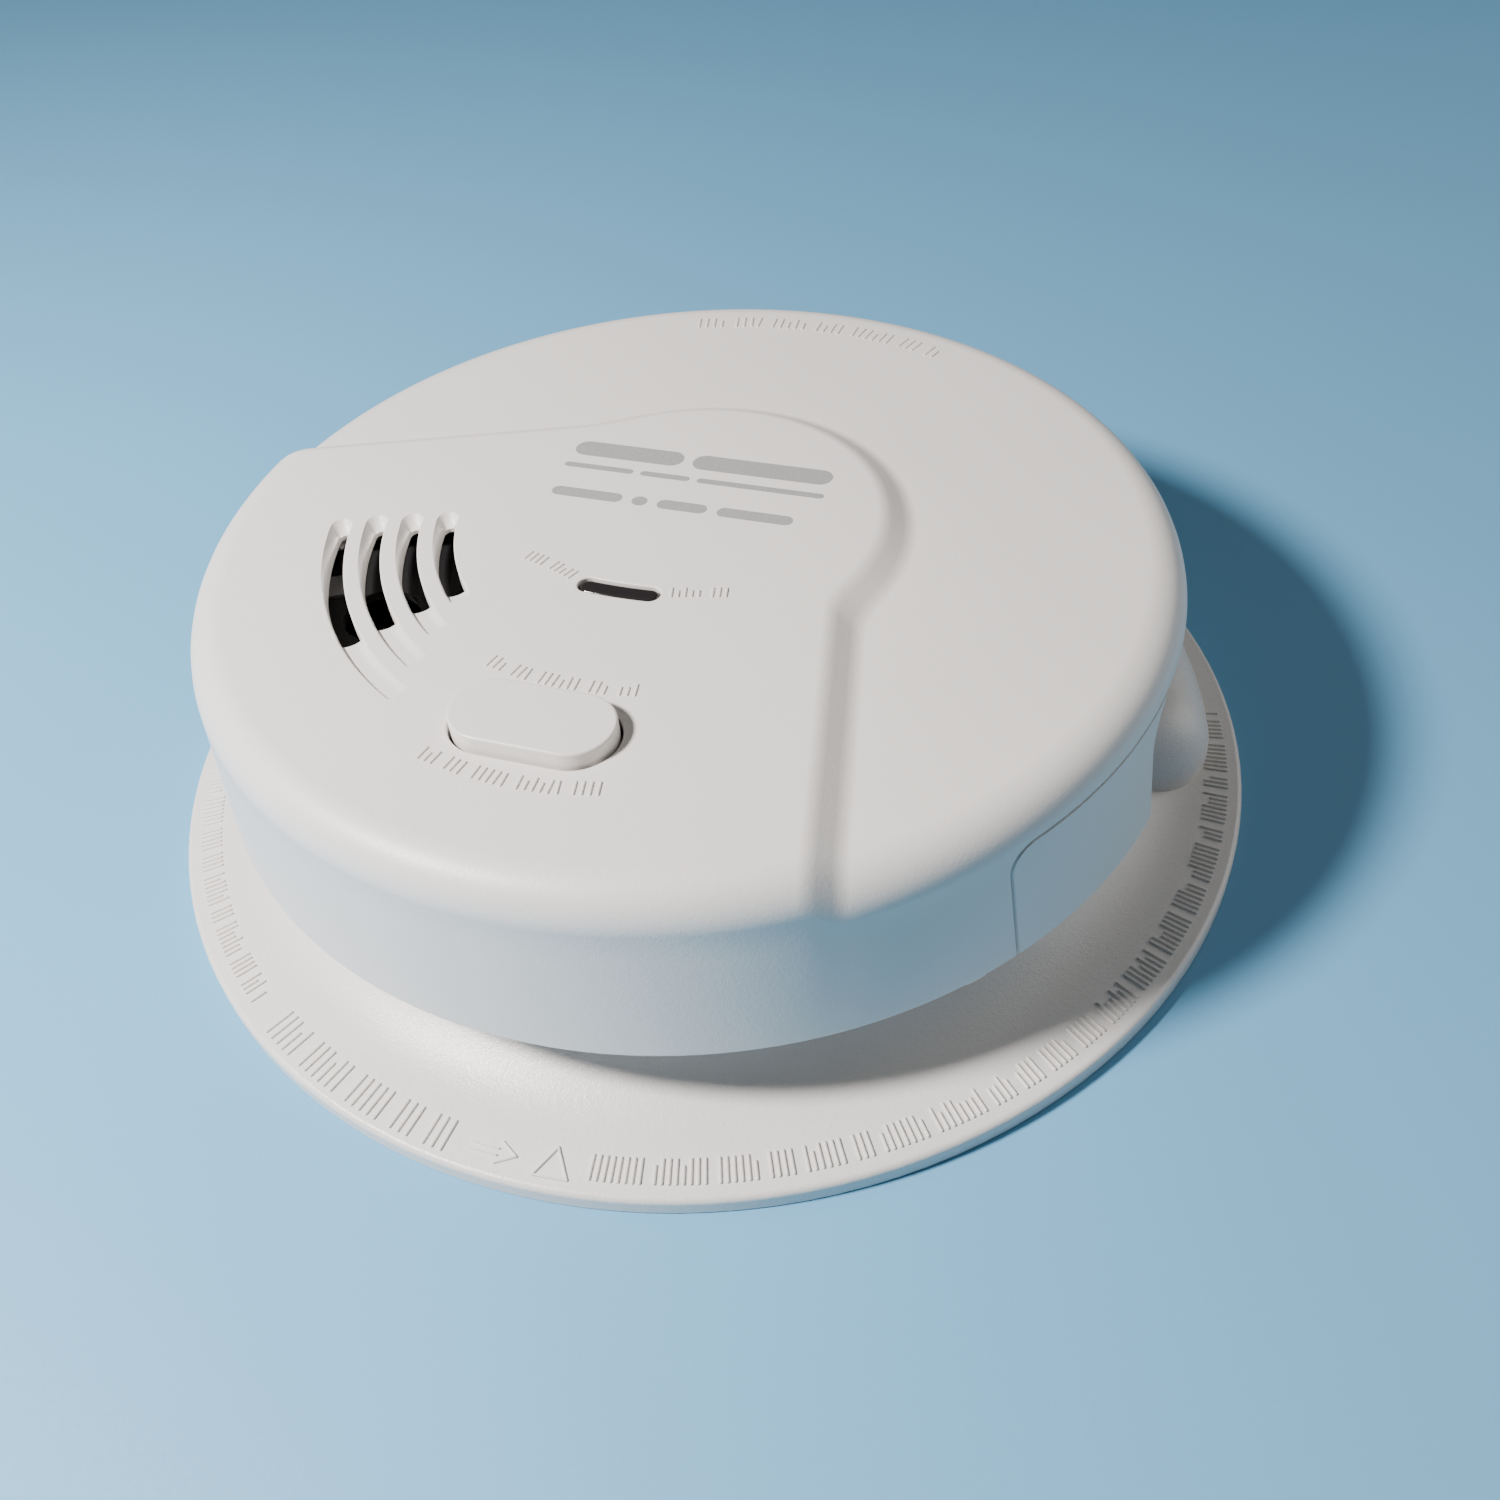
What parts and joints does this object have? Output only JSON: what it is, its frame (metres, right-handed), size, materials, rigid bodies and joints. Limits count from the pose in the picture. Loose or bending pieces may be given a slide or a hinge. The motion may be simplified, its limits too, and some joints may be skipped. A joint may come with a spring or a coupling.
{
  "type": "smoke alarm",
  "caption": "Round ceiling smoke alarm on a flared trim ring, with sounder slots, test button, indicator window and a slide-out battery drawer.",
  "frame": {"origin": "centre of the trim ring's back face, which lies on the ceiling box or on a table", "axes": "+Z out of the alarm's face, +Y towards the top of the face as it is read, with the test button at -Y, +X to the right of the face"},
  "size_m": [0.1524, 0.1524, 0.0414],
  "materials": {
    "ring_plastic": "fine-grained matte moulding, warm white",
    "cover_plastic": "fine-grained matte moulding, warm white",
    "housing_plastic": "plain matte moulding, warm white",
    "drawer_plastic": "fine-grained matte moulding, warm white",
    "button_plastic": "satin moulding, warm white",
    "window_plastic": "smoked, polished",
    "black_plastic": "matte black moulding",
    "grey_plastic": "matte dark grey moulding",
    "board": "green solder mask",
    "steel": "zinc plated",
    "tin": "tin plated",
    "brass": "plain brass",
    "screen": "fine woven screen",
    "lamp_green": "clear green epoxy",
    "lamp_red": "clear red epoxy",
    "lamp_clear": "clear epoxy",
    "battery_jacket": "painted steel jacket",
    "capacitor_film": "moulded yellow box",
    "capacitor_can": "sleeved aluminium can",
    "surge_coat": "dipped blue coating",
    "chip": "moulded epoxy",
    "resistor_coat": "tan lacquer",
    "label": "plain white label"
  },
  "bodies": {
    "bracket": {"trim_ring": "ring_plastic"},
    "alarm": {"rear_housing": "housing_plastic", "battery_bay": "housing_plastic", "board_spacers": "housing_plastic", "front_cover": "cover_plastic", "cover_screws": "steel", "rear_label": "label", "power_socket": "grey_plastic", "power_pins": "tin", "circuit_board": "board", "board_screws": "steel", "chamber_base": "black_plastic", "chamber_cap": "black_plastic", "insect_screen": "screen", "infrared_lamp": "lamp_clear", "photodiode": "window_plastic", "ion_can": "tin", "ion_electrode": "steel", "horn_housing": "grey_plastic", "horn_clip": "tin", "piezo_disc": "brass", "light_pipe": "window_plastic", "power_led": "lamp_green", "alarm_led": "lamp_red", "button_spring": "steel", "tact_switch": "black_plastic", "contact_plate": "black_plastic", "battery_contacts": "brass", "film_capacitor": "capacitor_film", "can_capacitor": "capacitor_can", "surge_disc": "surge_coat", "control_chip": "chip", "resistors": "resistor_coat"},
    "drawer": {"battery_drawer": "drawer_plastic", "battery_case": "battery_jacket", "battery_terminals": "tin"},
    "button": {"test_button": "button_plastic"},
    "plunger": {"switch_plunger": "black_plastic"}
  },
  "joints": [
    {"name": "alarm_twist", "type": "hinge", "parent": "bracket", "child": "alarm", "pos_m": [0, 0, 0.004], "axis": [0, 0, 1], "range_deg": [0, 15]},
    {"name": "drawer_slide", "type": "slide", "parent": "alarm", "child": "drawer", "axis": [0.9981, -0.061, 0], "range_m": [0, 0.04]},
    {"name": "button_press", "type": "slide", "parent": "alarm", "child": "button", "axis": [0, 0, -1], "range_m": [0, 0.0012], "stiffness_N_per_m": 800, "springref_m": -0.0008, "deforming": ["button_spring"]},
    {"name": "plunger_press", "type": "slide", "parent": "alarm", "child": "plunger", "axis": [0, 0, -1], "range_m": [0, 0.0003]}
  ],
  "couplings": [
    {"joint": "plunger_press", "follows": "button_press", "ratio": 0.25}
  ]
}
